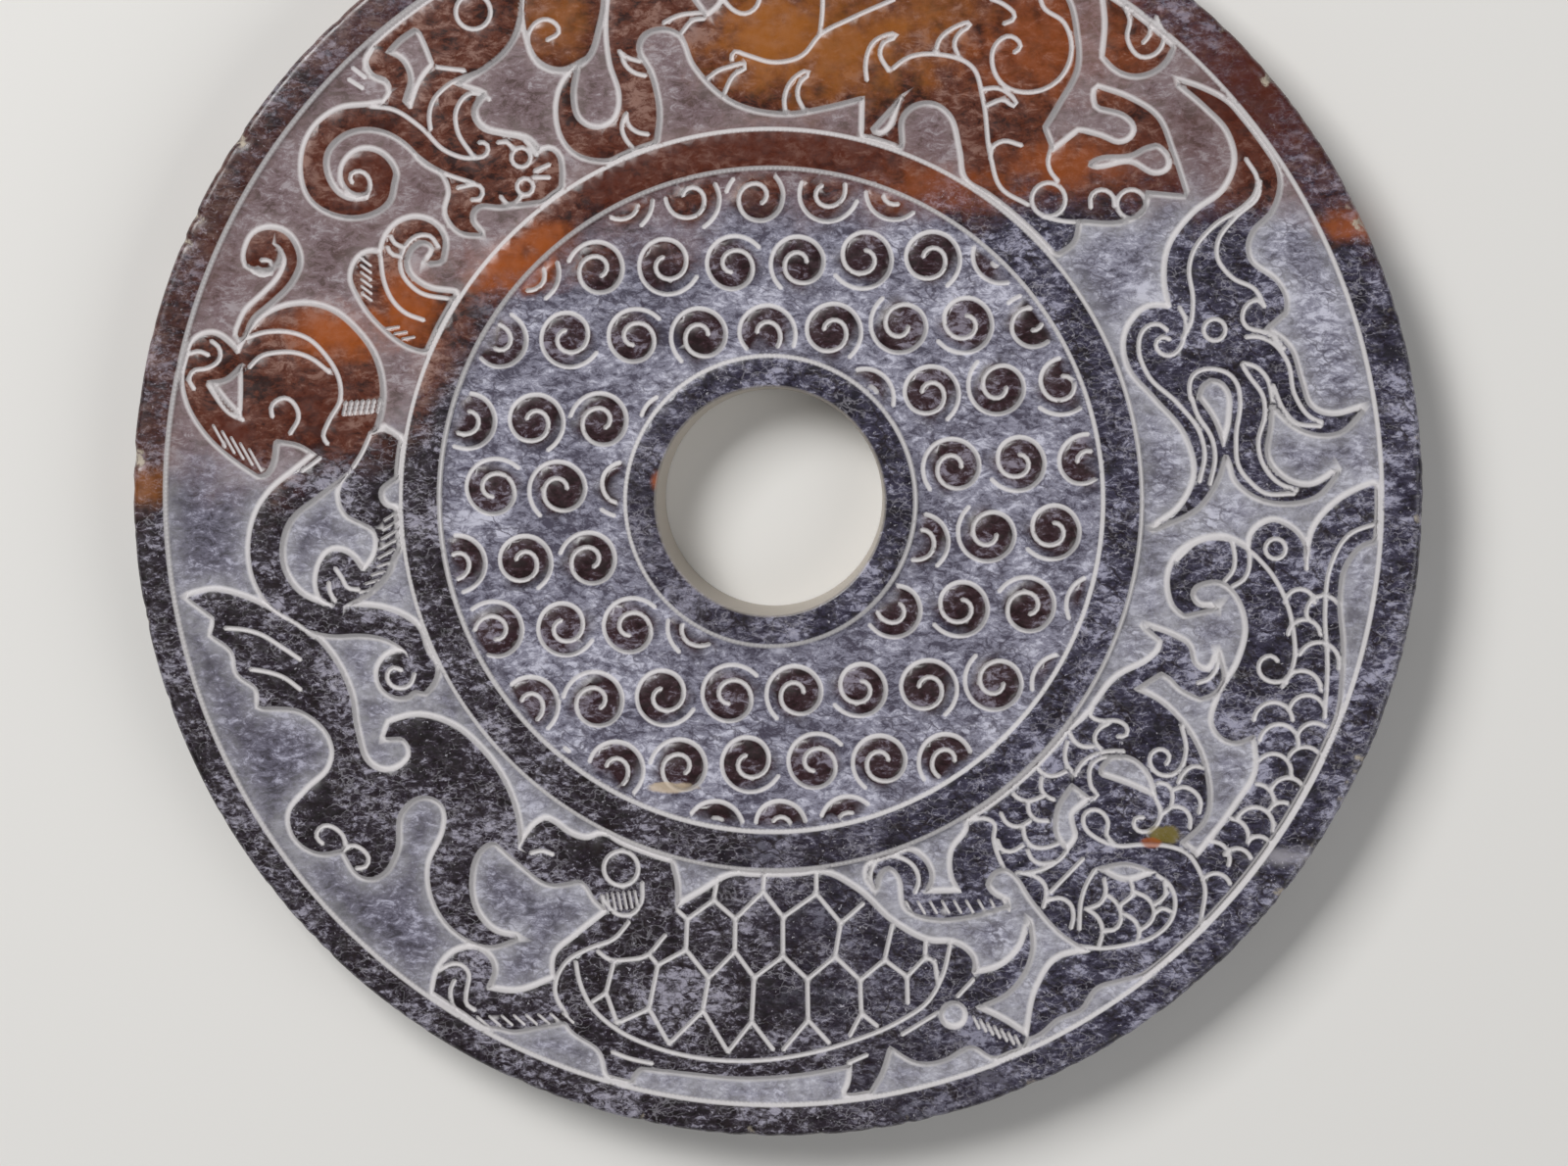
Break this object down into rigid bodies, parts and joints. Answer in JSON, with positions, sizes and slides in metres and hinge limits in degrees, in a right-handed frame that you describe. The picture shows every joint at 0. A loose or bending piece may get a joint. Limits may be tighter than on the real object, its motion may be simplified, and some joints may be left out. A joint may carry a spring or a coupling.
{
  "type": "jade bi disc",
  "caption": "Flat round jade disc with a central hole, raised rings, rows of curled grains and an outer band of four carved beasts in low relief.",
  "frame": {"origin": "middle of the underside, within the outer edge", "axes": "+Z out of the carved face, +Y towards the dragon's back, +X towards the dragon's head"},
  "size_m": [0.2, 0.2, 0.012],
  "materials": {
    "jade": "polished dark jade, frosted grey-blue in the recesses, amber band across the top"
  },
  "bodies": {
    "root": {"bi_disc": "jade"}
  },
  "joints": []
}
